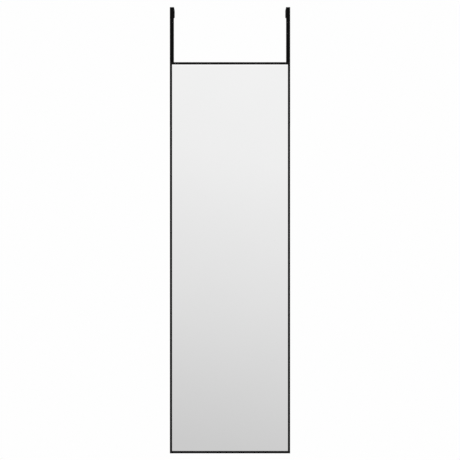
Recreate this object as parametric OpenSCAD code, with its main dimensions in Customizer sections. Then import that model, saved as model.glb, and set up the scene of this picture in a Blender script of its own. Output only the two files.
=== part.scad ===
// Over the door mirror: a pane in a thin mitred frame, hung on the top edge of a door by two
// flat steel hangers that slide behind the stiles and are clamped there by two screws each.
// The frame is one extrusion with a front lip, a rebate for pane and panel, and a slotted
// channel at its rear that takes the corner keys and the nuts of the clamp screws.
// Origin: on the top edge of the door, at the door's front face, midway between the hooks.
// +X is the right of someone facing the mirror, +Y points from the room into the door, +Z is up.

/* [Frame] */
// Width of the frame
frame_w = 307.4; // [240:0.1:500]
// Height of the frame
frame_h = 1000; // [700:1:1600]
// Width of the lip, the black line seen from the front
lip_w = 5.6; // [3.6:0.1:8]
// Thickness of the lip
lip_t = 1.4; // [1:0.1:2.5]
// Thickness of the outer wall
wall_t = 1.1; // [0.8:0.1:1.8]
// Rounding of the outer long edges
edge_r = 0.4; // [0.2:0.1:0.7]

/* [Rear channel] */
// Width of the channel inside
channel_w = 6.6; // [5.8:0.1:9]
// Depth of the channel inside
channel_d = 2.6; // [2.4:0.1:4]
// Width of the slot at the rear of the channel
channel_slot = 3.6; // [3.4:0.1:4.6]
// Thickness of the shelf between rebate and channel
shelf_t = 1; // [0.8:0.1:2]
// Thickness of the channel's inner wall
inner_wall_t = 1; // [0.8:0.1:2]
// Thickness of the two rear lips
rear_lip_t = 1; // [0.8:0.1:1.2]

/* [Pane and panel] */
// Thickness of the mirror pane
pane_t = 3; // [2:0.5:5]
// Ground edge of the pane
pane_bevel = 0.5; // [0.2:0.1:0.8]
// Gap round the pane
pane_play = 0.8; // [0.4:0.1:1.5]
// Thickness of the back panel
panel_t = 2.4; // [2:0.1:6]
// Gap round the back panel
panel_play = 1; // [0.4:0.1:2]
// Thickness of the foam tape
tape_t = 1; // [0.5:0.1:2]
// How far the foam tape stays back from the lip's edge and from the wall
tape_back = 0.4; // [0.2:0.1:0.8]

/* [Spring clips] */
// Space between back panel and shelf that the clips fill
clip_space = 1.6; // [1.2:0.1:3]
// Thickness of a clip
clip_t = 0.5; // [0.3:0.1:0.8]
// Length of a clip
clip_len = 46; // [30:1:70]
// Width of a clip
clip_w = 11; // [9:0.5:16]
// Number of clips along each stile
clips_per_stile = 3; // [1:1:5]

/* [Corner keys] */
// Length of an arm from the key's outer corner
key_arm = 32; // [18:1:50]
// Play beside an arm in the channel
key_play = 0.1; // [0.05:0.05:0.25]
// Play in the channel's depth, which the grub screws take up
key_relief = 0.2; // [0.1:0.1:0.5]
// Corner cut at the end of an arm
key_chamfer = 1; // [0.4:0.1:1.5]
// Distance of a grub screw from the arm's end
grub_inset = 8; // [4:1:12]

/* [Hangers] */
// Height of the hook's top above the frame
hook_rise = 143.9; // [60:0.1:240]
// Thickness of the door that fits between the liners
door_t = 40; // [30:1:60]
// Drop of the rear leg from the hook's top
leg_drop = 20.5; // [15:0.5:60]
// Width of the strip
strip_w = 10.5; // [9:0.1:16]
// Thickness of the strip
strip_t = 1.5; // [1:0.1:2.5]
// Inner radius of the bends
bend_r = 1.5; // [0.5:0.1:3]
// Rounding of the strip's ends
strip_end_r = 2; // [0.5:0.1:4]
// Distance from the frame's top to the slot's upper end
slot_start = 40; // [38:1:80]
// Metal below the slot's lower end
slot_foot = 11; // [5:1:30]
// Travel of a hanger up and down from its middle
hanger_travel = 30; // [5:1:35]

/* [Liners and bumpers] */
// Thickness of a hook's liner
liner_t = 1.5; // [1.4:0.1:3]
// How far the liner runs down each leg
liner_drop = 16; // [8:1:40]
// How much narrower the liner is on each side
liner_back = 0.4; // [0.1:0.1:1]
// Diameter of a bumper
bumper_d = 8; // [6:0.5:14]
// Rounding of a bumper's rim
bumper_r = 1.2; // [0.4:0.1:1.8]
// Height of a bumper's middle above the frame's lower edge
bumper_up = 14; // [8:1:60]

/* [Screws] */
// Thread of the clamp screws and of the grub screws
screw_d = 3; // [2.5:0.1:3]
// Length of a clamp screw under its head
screw_len = 5; // [4.5:0.1:5]
// Diameter of a clamp screw's head
head_d = 6.6; // [5:0.1:8]
// Thickness of a clamp screw's head
head_t = 1.2; // [0.8:0.1:1.3]
// Distance between the two clamp screws of a hanger
screw_pitch = 50; // [20:1:80]
// Play between a screw and the sides of the slot
slot_play = 0.2; // [0.05:0.05:0.3]
// Width of a square nut
nut_w = 5.5; // [5:0.1:5.7]
// Thickness of a square nut
nut_t = 1.8; // [1.4:0.1:2.2]
// Length of a grub screw
grub_len = 3; // [2.4:0.1:3.3]
// Width across flats of the clamp screws' sockets
socket_w = 2; // [1.3:0.1:2.2]
// Width across flats of the grub screws' sockets
grub_socket_w = 1.5; // [1:0.1:1.8]
// Play in the threads
thread_play = 0.05; // [0.02:0.01:0.1]

/* [Hidden] */
// smoothness of small and of large round faces
$fn = 64;
BOW_FN = 720;
// overlap of a cutting shape past the face that it cuts
CUT = 1;
// gap left at the line contacts of the spring clips
TOUCH = 0.05;
// share of a head's or grub screw's length that its socket takes
SOCKET_SHARE = 0.6;

// depths in the extrusion, counted from its front face
pane_v = lip_t + tape_t;
panel_v = pane_v + pane_t;
clip_v = panel_v + panel_t;
shelf_v = clip_v + clip_space;
channel_v = shelf_v + shelf_t;
rear_lip_v = channel_v + channel_d;
frame_d = rear_lip_v + rear_lip_t;

// distances in the extrusion, counted inwards from its outer face
rear_w = wall_t + channel_w + inner_wall_t;
channel_mid = wall_t + channel_w / 2;
mitre_reach = max(lip_w, rear_w) + CUT;

// places across the door
strip_back_y = -liner_t;
strip_front_y = strip_back_y - strip_t;
front_y = strip_front_y - frame_d;
leg_back_y = door_t + liner_t + strip_t;

// heights
hook_top = liner_t + strip_t;
frame_top = hook_top - hook_rise;
frame_bottom = frame_top - frame_h;
leg_end = hook_top - leg_drop;
liner_end = -min(liner_drop, leg_drop - hook_top);

// slot and clamp screws of a hanger
slot_w = screw_d + 2 * slot_play;
slot_top = frame_top - slot_start;
upper_screw = slot_top - slot_w / 2 - hanger_travel;
lower_screw = upper_screw - screw_pitch;
slot_bottom = lower_screw - hanger_travel - slot_w / 2;
tail_end = slot_bottom - slot_foot;
strip_mid = frame_w / 2 - channel_mid;

// corner keys and grub screws
key_out = wall_t + key_play;
key_w = channel_w - 2 * key_play;
key_t = channel_d - key_relief;
grub_at = key_out + key_arm - grub_inset;
key_mid = key_out + key_w / 2;

// spring clips: sagitta and inner radius of the bow
clip_sag = clip_space - clip_t - 2 * TOUCH;
clip_bow = (pow(clip_len / 2, 2) + pow(clip_sag, 2)) / (2 * clip_sag);
clip_out = wall_t + panel_play;

// ---- helpers ----

// What a rounding of radius r takes off a square corner at the origin that points to -x, -y.
module corner_waste(r) {
    difference() {
        translate([-CUT, -CUT]) square(r + CUT);
        translate([r, r]) circle(r);
    }
}

// The mirror image when side is 1, so that a left piece also serves on the right.
module on_side(side) {
    if (side > 0) mirror([1, 0, 0]) children();
    else children();
}

// A corner of the frame: x and z then count inwards from its two outer faces, y from the front.
module at_corner(side, is_top) {
    on_side(side) translate([-frame_w / 2, front_y, is_top ? frame_top : frame_bottom]) {
        if (is_top) mirror([0, 0, 1]) children();
        else children();
    }
}

// A cylinder along +Y from the origin.
module along_y(d, h) {
    rotate([-90, 0, 0]) cylinder(d = d, h = h);
}

// A hexagonal socket along +Y from the origin.
module socket(flats, h) {
    rotate([-90, 0, 0]) cylinder(d = flats / cos(30), h = h, $fn = 6);
}

// A flat outline in y and z, given width along x about x = 0.
module side_view(w) {
    translate([-w / 2, 0, 0]) rotate([90, 0, 90]) linear_extrude(w) children();
}

// ---- frame ----

// Section of the extrusion: x inwards from the outer face, y back from the front face.
module frame_section() {
    difference() {
        union() {
            square([lip_w, lip_t]);
            square([wall_t, frame_d]);
            translate([0, shelf_v]) square([rear_w, shelf_t]);
            translate([rear_w - inner_wall_t, shelf_v]) square([inner_wall_t, frame_d - shelf_v]);
            difference() {
                translate([0, rear_lip_v]) square([rear_w, rear_lip_t]);
                translate([channel_mid - channel_slot / 2, rear_lip_v - CUT])
                    square([channel_slot, rear_lip_t + 2 * CUT]);
            }
        }
        corner_waste(edge_r);
        translate([0, frame_d]) mirror([0, 1]) corner_waste(edge_r);
        translate([rear_w, frame_d]) mirror([1, 0]) mirror([0, 1]) corner_waste(edge_r);
    }
}

// One length of the extrusion along z, both ends cut at 45 degrees.
module member(len) {
    intersection() {
        linear_extrude(len) frame_section();
        translate([0, frame_d + CUT, 0]) rotate([90, 0, 0]) linear_extrude(frame_d + 2 * CUT)
            polygon([[-CUT, -CUT], [mitre_reach, mitre_reach],
                     [mitre_reach, len - mitre_reach], [-CUT, len + CUT]]);
    }
}

module stile(side) {
    color("#1b1b1c") on_side(side) translate([-frame_w / 2, front_y, frame_bottom]) member(frame_h);
}

module rail(is_top) {
    color("#1b1b1c") at_corner(-1, is_top) mirror([0, 0, 1]) rotate([0, 90, 0]) member(frame_w);
}

module left_stile() {
    stile(-1);
}

module right_stile() {
    stile(1);
}

module top_rail() {
    rail(true);
}

module bottom_rail() {
    rail(false);
}

// ---- pane and panel ----

// A sheet that fills the rebate but for the play round it.
module rebate_sheet(play, t, v) {
    w = frame_w - 2 * (wall_t + play);
    h = frame_h - 2 * (wall_t + play);
    translate([-w / 2, front_y + v, frame_bottom + wall_t + play]) cube([w, t, h]);
}

// What grinding the front edge takes off, along one side of the pane.
module bevel_waste(len) {
    translate([0, 0, -CUT]) linear_extrude(len + 2 * CUT)
        polygon([[-CUT, -CUT], [pane_bevel + CUT, -CUT], [-CUT, pane_bevel + CUT]]);
}

module mirror_pane() {
    out = wall_t + pane_play;
    color("#dfe3e4") difference() {
        rebate_sheet(pane_play, pane_t, pane_v);
        for (side = [-1, 1]) on_side(side)
            translate([-frame_w / 2 + out, front_y + pane_v, frame_bottom]) bevel_waste(frame_h);
        for (is_top = [false, true]) at_corner(-1, is_top)
            translate([0, pane_v, out]) mirror([0, 0, 1]) rotate([0, 90, 0]) bevel_waste(frame_w);
    }
}

module back_panel() {
    color("#8a6a48") rebate_sheet(panel_play, panel_t, panel_v);
}

// ---- foam tape ----

// Length of tape along z behind the lip; cut_back is how far each end stops from the outer face.
module tape(len, cut_back) {
    translate([wall_t + tape_back, lip_t, cut_back])
        cube([lip_w - wall_t - 2 * tape_back, tape_t, len - 2 * cut_back]);
}

module side_tape(side) {
    color("#101010") on_side(side) translate([-frame_w / 2, front_y, frame_bottom])
        tape(frame_h, wall_t + tape_back);
}

module end_tape(is_top) {
    color("#101010") at_corner(-1, is_top) mirror([0, 0, 1]) rotate([0, 90, 0])
        tape(frame_w, lip_w - tape_back);
}

module left_foam_tape() {
    side_tape(-1);
}

module right_foam_tape() {
    side_tape(1);
}

module top_foam_tape() {
    end_tape(true);
}

module bottom_foam_tape() {
    end_tape(false);
}

// ---- corner keys ----

// Outline of a key in x and z.
module key_outline() {
    c = key_chamfer;
    polygon([[0, 0], [key_arm - c, 0], [key_arm, c], [key_arm, key_w - c], [key_arm - c, key_w],
             [key_w, key_w], [key_w, key_arm - c], [key_w - c, key_arm], [c, key_arm],
             [0, key_arm - c]]);
}

// Runs its children at the two grub screws of a corner.
module at_grubs() {
    translate([grub_at, 0, key_mid]) children();
    translate([key_mid, 0, grub_at]) children();
}

module corner_key(side, is_top) {
    color("#b9bcc0") at_corner(side, is_top) difference() {
        translate([key_out, rear_lip_v, key_out]) rotate([90, 0, 0]) linear_extrude(key_t) key_outline();
        at_grubs() translate([0, rear_lip_v - key_t - CUT, 0])
            along_y(screw_d + 2 * thread_play, key_t + 2 * CUT);
    }
}

module top_left_corner_key() {
    corner_key(-1, true);
}

module top_right_corner_key() {
    corner_key(1, true);
}

module bottom_left_corner_key() {
    corner_key(-1, false);
}

module bottom_right_corner_key() {
    corner_key(1, false);
}

module grub_screw() {
    socket_l = grub_len * SOCKET_SHARE;
    difference() {
        along_y(screw_d, grub_len);
        translate([0, grub_len - socket_l, 0]) socket(grub_socket_w, socket_l + CUT);
    }
}

module corner_grub_screws() {
    color("#7f8388") for (side = [-1, 1], is_top = [false, true])
        at_corner(side, is_top) at_grubs() translate([0, channel_v, 0]) grub_screw();
}

// ---- spring clips ----

// A bowed clip along z about the origin: its middle presses on the shelf, its ends on the panel.
module spring_clip() {
    intersection() {
        translate([0, shelf_v - TOUCH - clip_t - clip_bow, 0]) rotate([0, 90, 0]) difference() {
            cylinder(r = clip_bow + clip_t, h = clip_w, $fn = BOW_FN);
            translate([0, 0, -CUT]) cylinder(r = clip_bow, h = clip_w + 2 * CUT, $fn = BOW_FN);
        }
        translate([-CUT, clip_v, -clip_len / 2]) cube([clip_w + 2 * CUT, clip_space, clip_len]);
    }
}

module side_spring_clips() {
    color("#9aa0a6") for (side = [-1, 1], i = [1 : clips_per_stile]) on_side(side)
        translate([-frame_w / 2 + clip_out, front_y, frame_bottom + frame_h * i / (clips_per_stile + 1)])
            spring_clip();
}

module end_spring_clips() {
    color("#9aa0a6") for (is_top = [false, true]) at_corner(-1, is_top)
        translate([frame_w / 2, 0, clip_out]) mirror([0, 0, 1]) rotate([0, 90, 0]) spring_clip();
}

// ---- hangers ----

// Outline in y and z, wide at its flat lower end and rounded at its two upper corners.
module arch(y0, y1, z0, z1, r) {
    difference() {
        translate([y0, z0]) square([y1 - y0, z1 - z0]);
        translate([y0, z1]) mirror([0, 1]) corner_waste(r);
        translate([y1, z1]) mirror([1, 0]) mirror([0, 1]) corner_waste(r);
    }
}

// The strip seen from the side: tail, front bend, bridge, rear bend and leg.
module strip_outline() {
    difference() {
        arch(strip_front_y, leg_back_y, leg_end, hook_top, bend_r + strip_t);
        arch(strip_back_y, leg_back_y - strip_t, leg_end - CUT, liner_t, bend_r);
    }
    translate([strip_front_y, tail_end]) square([strip_t, leg_end - tail_end]);
}

// What rounding takes off the two corners at the lower end of a leg.
module end_waste(y, z) {
    for (side = [-1, 1]) on_side(side) translate([-strip_w / 2, y + strip_t + CUT, z])
        rotate([90, 0, 0]) linear_extrude(strip_t + 2 * CUT) corner_waste(strip_end_r);
}

// The slot that the clamp screws pass through.
module strip_slot() {
    translate([0, strip_front_y - CUT, 0]) {
        for (z = [slot_top - slot_w / 2, slot_bottom + slot_w / 2])
            translate([0, 0, z]) along_y(slot_w, strip_t + 2 * CUT);
        translate([-slot_w / 2, 0, slot_bottom + slot_w / 2])
            cube([slot_w, strip_t + 2 * CUT, slot_top - slot_bottom - slot_w]);
    }
}

module hanger(side) {
    color("#161617") on_side(side) translate([-strip_mid, 0, 0]) difference() {
        side_view(strip_w) strip_outline();
        end_waste(strip_front_y, tail_end);
        end_waste(leg_back_y - strip_t, leg_end);
        strip_slot();
    }
}

module left_hanger() {
    hanger(-1);
}

module right_hanger() {
    hanger(1);
}

// Foam liner folded into the hook, where the strip would rub on the door.
module hook_liner(side) {
    color("#2b2b2d") on_side(side) translate([-strip_mid, 0, 0]) side_view(strip_w - 2 * liner_back)
        difference() {
            arch(strip_back_y, leg_back_y - strip_t, liner_end, liner_t, bend_r);
            translate([0, liner_end - CUT]) square([door_t, CUT - liner_end]);
        }
}

module left_hook_liner() {
    hook_liner(-1);
}

module right_hook_liner() {
    hook_liner(1);
}

// ---- clamp screws and nuts ----

// Runs its children at the two clamp screws of a stile.
module at_clamps(side) {
    on_side(side) for (z = [lower_screw, upper_screw]) translate([-strip_mid, 0, z]) children();
}

// Low round head behind the strip, shank through strip and slot into the nut.
module clamp_screw() {
    socket_l = head_t * SOCKET_SHARE;
    difference() {
        union() {
            translate([0, strip_back_y, 0]) along_y(head_d, head_t);
            translate([0, strip_back_y - screw_len, 0]) along_y(screw_d, screw_len);
        }
        translate([0, strip_back_y + head_t - socket_l, 0]) socket(socket_w, socket_l + CUT);
    }
}

module left_clamp_screws() {
    color("#2a2a2c") at_clamps(-1) clamp_screw();
}

module right_clamp_screws() {
    color("#2a2a2c") at_clamps(1) clamp_screw();
}

// Square nut that bears on the two rear lips from inside the channel.
module channel_nut() {
    translate([0, front_y + rear_lip_v - nut_t, 0]) difference() {
        translate([-nut_w / 2, 0, -nut_w / 2]) cube([nut_w, nut_t, nut_w]);
        translate([0, -CUT, 0]) along_y(screw_d + 2 * thread_play, nut_t + 2 * CUT);
    }
}

module left_channel_nuts() {
    color("#b9bcc0") at_clamps(-1) channel_nut();
}

module right_channel_nuts() {
    color("#b9bcc0") at_clamps(1) channel_nut();
}

// ---- bumpers ----

// Rubber bumper as high as strip and liner together, so that the mirror hangs parallel to the door.
module bumper(side) {
    color("#242426") on_side(side)
        translate([-strip_mid, strip_front_y, frame_bottom + bumper_up]) rotate([-90, 0, 0])
            rotate_extrude() difference() {
                square([bumper_d / 2, hook_top]);
                translate([bumper_d / 2, hook_top]) mirror([1, 0]) mirror([0, 1]) corner_waste(bumper_r);
            }
}

module left_bumper() {
    bumper(-1);
}

module right_bumper() {
    bumper(1);
}

left_stile();
right_stile();
top_rail();
bottom_rail();
mirror_pane();
back_panel();
left_foam_tape();
right_foam_tape();
top_foam_tape();
bottom_foam_tape();
top_left_corner_key();
top_right_corner_key();
bottom_left_corner_key();
bottom_right_corner_key();
corner_grub_screws();
side_spring_clips();
end_spring_clips();
left_hanger();
right_hanger();
left_hook_liner();
right_hook_liner();
left_clamp_screws();
right_clamp_screws();
left_channel_nuts();
right_channel_nuts();
left_bumper();
right_bumper();
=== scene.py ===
"""Over the door mirror, built and finished for its picture.

Every measure is in metres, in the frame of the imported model. The origin is on the top edge of the door at
the door's front face, +X is the right of someone facing the mirror, +Y goes into the door, and +Z is up.
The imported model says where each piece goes, the shapes are modelled with Blender's own operators, and the
finishes are node materials that read the pieces' own coordinates.
"""

import logging
import math
from collections.abc import Callable
from dataclasses import dataclass, field
from enum import Enum

import bmesh
import bpy
from mathutils import Matrix, Vector


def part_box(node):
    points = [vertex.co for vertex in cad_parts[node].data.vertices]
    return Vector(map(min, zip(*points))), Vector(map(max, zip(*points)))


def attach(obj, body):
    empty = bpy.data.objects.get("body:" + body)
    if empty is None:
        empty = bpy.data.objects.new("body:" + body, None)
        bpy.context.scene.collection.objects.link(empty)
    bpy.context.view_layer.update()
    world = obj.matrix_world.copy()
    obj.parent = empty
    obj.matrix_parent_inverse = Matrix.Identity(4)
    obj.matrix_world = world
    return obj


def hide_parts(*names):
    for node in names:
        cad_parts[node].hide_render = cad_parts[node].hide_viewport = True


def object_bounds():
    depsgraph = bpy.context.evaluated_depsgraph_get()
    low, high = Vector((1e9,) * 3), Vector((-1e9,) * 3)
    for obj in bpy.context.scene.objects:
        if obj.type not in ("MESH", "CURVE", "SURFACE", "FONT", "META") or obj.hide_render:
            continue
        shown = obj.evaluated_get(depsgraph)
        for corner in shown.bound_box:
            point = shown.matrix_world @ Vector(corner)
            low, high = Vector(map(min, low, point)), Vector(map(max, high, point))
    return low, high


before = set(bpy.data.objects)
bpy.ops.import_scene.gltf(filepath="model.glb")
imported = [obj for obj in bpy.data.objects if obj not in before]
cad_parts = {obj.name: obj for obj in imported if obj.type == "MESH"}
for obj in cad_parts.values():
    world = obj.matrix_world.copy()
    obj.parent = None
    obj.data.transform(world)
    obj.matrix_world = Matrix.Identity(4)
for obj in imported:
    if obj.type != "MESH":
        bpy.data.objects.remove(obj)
CAD_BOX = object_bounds()

LOG = logging.getLogger("mirror")
MM = 0.001
ORIGIN = Vector((0.0, 0.0, 0.0))
RIGHT = Vector((1.0, 0.0, 0.0))
BACK = Vector((0.0, 1.0, 0.0))
UP = Vector((0.0, 0.0, 1.0))
QUARTER_TURN = math.pi / 2
# two places this near each other are one
SAME = 0.01 * MM
# what a cut or a merge takes as no distance at all
NOTHING = SAME / 10
# a face whose normal has more than this along an axis is square to that axis
SQUARE_ON = 0.99
# faces that meet at less than this angle are one flat face
FLAT = math.radians(0.05)
# faces that meet at more than this angle have an edge between them
SHARP = math.radians(32)
# and at more than this angle the shading breaks there as well
SHARP_SHADING = math.radians(60)
# how strongly large faces lead the shading of their corners, out of 100
LARGE_FACES_LEAD = 100
# how far a cutter stands out past what it cuts
CUT_PAST = 1.0 * MM
HOLE_SIDES = 48
HEX_SIDES = 6

Colour = tuple[float, float, float]
Socket = bpy.types.NodeSocket
PlaceTest = Callable[[Vector], bool]
FaceTest = Callable[[Vector, Vector], bool]
EdgeTest = Callable[[Vector, Vector], bool]


class Side(Enum):
    """The two sides of the mirror, as someone facing it sees them."""

    LEFT = -1
    RIGHT = 1

    @property
    def word(self) -> str:
        """The side's name as it stands in piece and node names."""
        return self.name.lower()

    @property
    def inward(self) -> Vector:
        """The way from that side to the middle."""
        return RIGHT * -self.value


class Level(Enum):
    """The upper and the lower end of the frame."""

    TOP = 1
    BOTTOM = -1

    @property
    def word(self) -> str:
        """The level's name as it stands in piece and node names."""
        return self.name.lower()

    @property
    def inward(self) -> Vector:
        """The way from that end to the middle."""
        return UP * -self.value


class Run(Enum):
    """The axis along which a bar was pressed or a strip was rolled."""

    LEVEL = 0
    UPRIGHT = 2

    def stretch(self, width: float, length: float) -> list[float]:
        """How fine lines along this axis are stretched.

        Args:
            width: How wide a line is.
            length: How long it is.

        Returns:
            The stretch along each axis: waves to the metre.
        """
        return [1 / (length if axis == self.value else width) for axis in range(3)]


class Body(Enum):
    """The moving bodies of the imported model."""

    MIRROR = "mirror"
    LEFT_HOOK = "left_hook"
    RIGHT_HOOK = "right_hook"

    @classmethod
    def hook(cls, side: Side) -> "Body":
        """The body of the hanger on that side."""
        return cls.LEFT_HOOK if side is Side.LEFT else cls.RIGHT_HOOK


class Slot(Enum):
    """The record's material slots."""

    FRAME = "frame_black"
    GLASS = "mirror_glass"
    BOARD = "panel_board"
    TAPE = "tape_foam"
    ZINC = "zinc_plate"
    SCREW = "screw_steel"
    SPRING = "spring_steel"
    HANGER = "hanger_black"
    LINER = "liner_foam"
    BUMPER = "bumper_rubber"


def near(first: float, second: float) -> bool:
    """Whether two measures are the same."""
    return abs(first - second) < SAME


def lie_at(axis: Vector, distance: float, *points: Vector) -> bool:
    """Whether all the points lie at that distance along an axis."""
    return all(near(point.dot(axis), distance) for point in points)


def placed(origin: Vector, inward: Vector, along: Vector) -> Matrix:
    """The matrix that sets a piece into place which was drawn with x inwards, y back and z along.

    Args:
        origin: Where the drawing's origin goes.
        inward: Where the drawing's x axis points.
        along: Where the drawing's z axis points.

    Returns:
        The matrix, which mirrors the piece where the three axes call for it.
    """
    return Matrix.Translation(origin) @ Matrix((inward, BACK, along)).transposed().to_4x4()


def front_middle(node: str) -> Vector:
    """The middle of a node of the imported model, at its front."""
    low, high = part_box(node)
    return Vector(((low.x + high.x) / 2, low.y, (low.z + high.z) / 2))


# ---- the bench: a mesh and the operators that shape it ----


@dataclass
class Workpiece:
    """A mesh that stands in edit mode while it is shaped."""

    thing: bpy.types.Object

    @staticmethod
    def clear_bench() -> None:
        """Leaves edit mode and deselects everything."""
        if bpy.context.object and bpy.context.object.mode != "OBJECT":
            bpy.ops.object.mode_set(mode="OBJECT")
        bpy.ops.object.select_all(action="DESELECT")

    @classmethod
    def _taken_up(cls, name: str) -> "Workpiece":
        """Names the primitive just added, applies its place and opens it for editing.

        Args:
            name: The piece's name.

        Returns:
            The piece, open for editing.
        """
        thing = bpy.context.active_object
        thing.name = name
        thing.data.name = name
        bpy.ops.object.transform_apply(location=True, rotation=True, scale=True)
        bpy.ops.object.mode_set(mode="EDIT")
        return cls(thing)

    @classmethod
    def block(cls, name: str, low: Vector, high: Vector) -> "Workpiece":
        """Starts from a block.

        Args:
            name: The piece's name.
            low: Its lowest corner.
            high: Its highest corner.

        Returns:
            The block, open for editing.
        """
        cls.clear_bench()
        bpy.ops.mesh.primitive_cube_add(size=1, location=(low + high) / 2, scale=high - low)
        return cls._taken_up(name)

    @classmethod
    def rod(cls, name: str, foot: Vector, length: float, radius: float, sides: int) -> "Workpiece":
        """Starts from a rod that runs back from its foot.

        Args:
            name: The piece's name.
            foot: The middle of its front end.
            length: Its length.
            radius: Its radius, to its corners.
            sides: How many sides it has.

        Returns:
            The rod, open for editing.
        """
        cls.clear_bench()
        bpy.ops.mesh.primitive_cylinder_add(
            vertices=sides,
            radius=radius,
            depth=length,
            location=foot + BACK * length / 2,
            rotation=(-QUARTER_TURN, 0, 0),
        )
        return cls._taken_up(name)

    @classmethod
    def section(cls, name: str, middle: Vector, size: tuple[float, float], tilt: float) -> "Workpiece":
        """Starts from a flat section, selected and ready to be spun.

        Args:
            name: The piece's name.
            middle: The middle of the section.
            size: Its size along x, and across.
            tilt: How far it is turned about x, from level.

        Returns:
            The section, open for editing.
        """
        cls.clear_bench()
        bpy.ops.mesh.primitive_plane_add(size=1, location=middle, rotation=(tilt, 0, 0))
        bpy.context.active_object.scale = (*size, 1)
        section = cls._taken_up(name)
        bpy.ops.mesh.select_all(action="SELECT")
        return section

    def _open_mesh(self, kind: str) -> bmesh.types.BMesh:
        """Gets the mesh ready to have some of its elements selected.

        Args:
            kind: The kind of element: VERT, EDGE or FACE.

        Returns:
            The mesh in edit mode, with nothing selected.
        """
        bpy.ops.mesh.select_mode(type=kind)
        bpy.ops.mesh.select_all(action="DESELECT")
        return bmesh.from_edit_mesh(self.thing.data)

    def _picked(self, mesh: bmesh.types.BMesh, chosen: list) -> "Workpiece":
        """Selects the chosen elements, and stops if there are none.

        Args:
            mesh: The mesh in edit mode.
            chosen: The elements of it that are selected.

        Returns:
            The piece.
        """
        if not chosen:
            raise ValueError(f"{self.thing.name}: nothing to work on at that place")
        for element in chosen:
            element.select_set(True)
        mesh.select_flush_mode()
        bmesh.update_edit_mesh(self.thing.data)
        return self

    def corners(self, test: PlaceTest) -> "Workpiece":
        """Selects the vertices whose place passes the test."""
        mesh = self._open_mesh("VERT")
        return self._picked(mesh, [v for v in mesh.verts if test(v.co)])

    def edges(self, test: EdgeTest) -> "Workpiece":
        """Selects the edges whose two ends pass the test."""
        mesh = self._open_mesh("EDGE")
        return self._picked(mesh, [e for e in mesh.edges if test(e.verts[0].co, e.verts[1].co)])

    def faces(self, test: FaceTest) -> "Workpiece":
        """Selects the faces whose middle and normal pass the test."""
        mesh = self._open_mesh("FACE")
        return self._picked(mesh, [f for f in mesh.faces if test(f.calc_center_median(), f.normal)])

    def rim(self, depth: float) -> "Workpiece":
        """Selects the edges that lie at that depth."""
        return self.edges(lambda a, b: lie_at(BACK, depth, a, b))

    def slice(self, axis: Vector, distance: float) -> "Workpiece":
        """Cuts an edge loop round the piece, square to an axis.

        Args:
            axis: The axis.
            distance: How far along it the loop lies.

        Returns:
            The piece.
        """
        bpy.ops.mesh.select_all(action="SELECT")
        bpy.ops.mesh.bisect(plane_co=axis * distance, plane_no=axis, threshold=NOTHING)
        return self

    def trim(self, point: Vector, normal: Vector) -> "Workpiece":
        """Saws off what lies beyond a plane and closes the cut.

        Args:
            point: A point on the plane.
            normal: The plane's normal, which points at what goes.

        Returns:
            The piece.
        """
        bpy.ops.mesh.select_all(action="SELECT")
        bpy.ops.mesh.bisect(
            plane_co=point, plane_no=normal, threshold=NOTHING, use_fill=True, clear_outer=True
        )
        return self

    def pull(self, move: Vector) -> "Workpiece":
        """Extrudes what is selected."""
        bpy.ops.mesh.extrude_region_move(TRANSFORM_OT_translate={"value": move})
        return self

    def widen(self, ratio: float, middle: Vector) -> "Workpiece":
        """Scales what is selected about a point, across the rod's axis and not along it."""
        bpy.ops.transform.resize(value=(ratio, 1, ratio), center_override=middle)
        return self

    def inset(self, width: float, depth: float = 0.0) -> "Workpiece":
        """Insets the selected faces, and sinks them where depth is negative."""
        bpy.ops.mesh.inset(thickness=width, depth=depth)
        return self

    def bevel(self, width: float, steps: int) -> "Workpiece":
        """Rounds the selected edges, or chamfers them where steps is one."""
        bpy.ops.mesh.bevel(offset=width, segments=steps, affect="EDGES", clamp_overlap=True)
        return self

    def spin(self, middle: Vector, angle: float, steps: int) -> "Workpiece":
        """Bends the selected end face round an axis along x, and leaves the new end selected.

        Args:
            middle: A point on the axis.
            angle: How far it turns.
            steps: How many faces the bend has.

        Returns:
            The piece.
        """
        # the operator turns the other way round the axis
        bpy.ops.mesh.spin(steps=steps, angle=-angle, center=middle, axis=RIGHT)
        return self

    def close(self) -> "Workpiece":
        """Merges doubles, drops edges inside flat faces, turns the faces out and leaves edit mode.

        Returns:
            The closed piece.
        """
        bpy.ops.mesh.select_mode(type="VERT")
        bpy.ops.mesh.select_all(action="SELECT")
        bpy.ops.mesh.remove_doubles(threshold=NOTHING)
        bpy.ops.mesh.dissolve_limited(angle_limit=FLAT)
        self._turn_out()
        return self

    @staticmethod
    def _turn_out() -> None:
        """Turns every face of the open piece outwards, and leaves edit mode."""
        bpy.ops.mesh.select_all(action="SELECT")
        bpy.ops.mesh.normals_make_consistent(inside=False)
        bpy.ops.object.mode_set(mode="OBJECT")

    def _take(self) -> None:
        """Makes this closed piece the active one and the only one selected."""
        self.clear_bench()
        self.thing.select_set(True)
        bpy.context.view_layer.objects.active = self.thing

    def _work(self, kind: str, **settings: object) -> "Workpiece":
        """Works the closed piece over with a modifier, and applies it for good.

        Args:
            kind: The modifier's type.
            **settings: The modifier's settings.

        Returns:
            The piece.
        """
        tool = self.thing.modifiers.new(kind.lower(), kind)
        for name, value in settings.items():
            setattr(tool, name, value)
        self._take()
        bpy.ops.object.modifier_apply(modifier=tool.name)
        return self

    def cut(self, cutter: "Workpiece") -> "Workpiece":
        """Takes the cutter's shape out of this closed piece, and throws the cutter away.

        Args:
            cutter: The closed cutter.

        Returns:
            The piece.
        """
        self._work("BOOLEAN", object=cutter.thing, operation="DIFFERENCE", solver="EXACT")
        cutter.discard()
        return self

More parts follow.
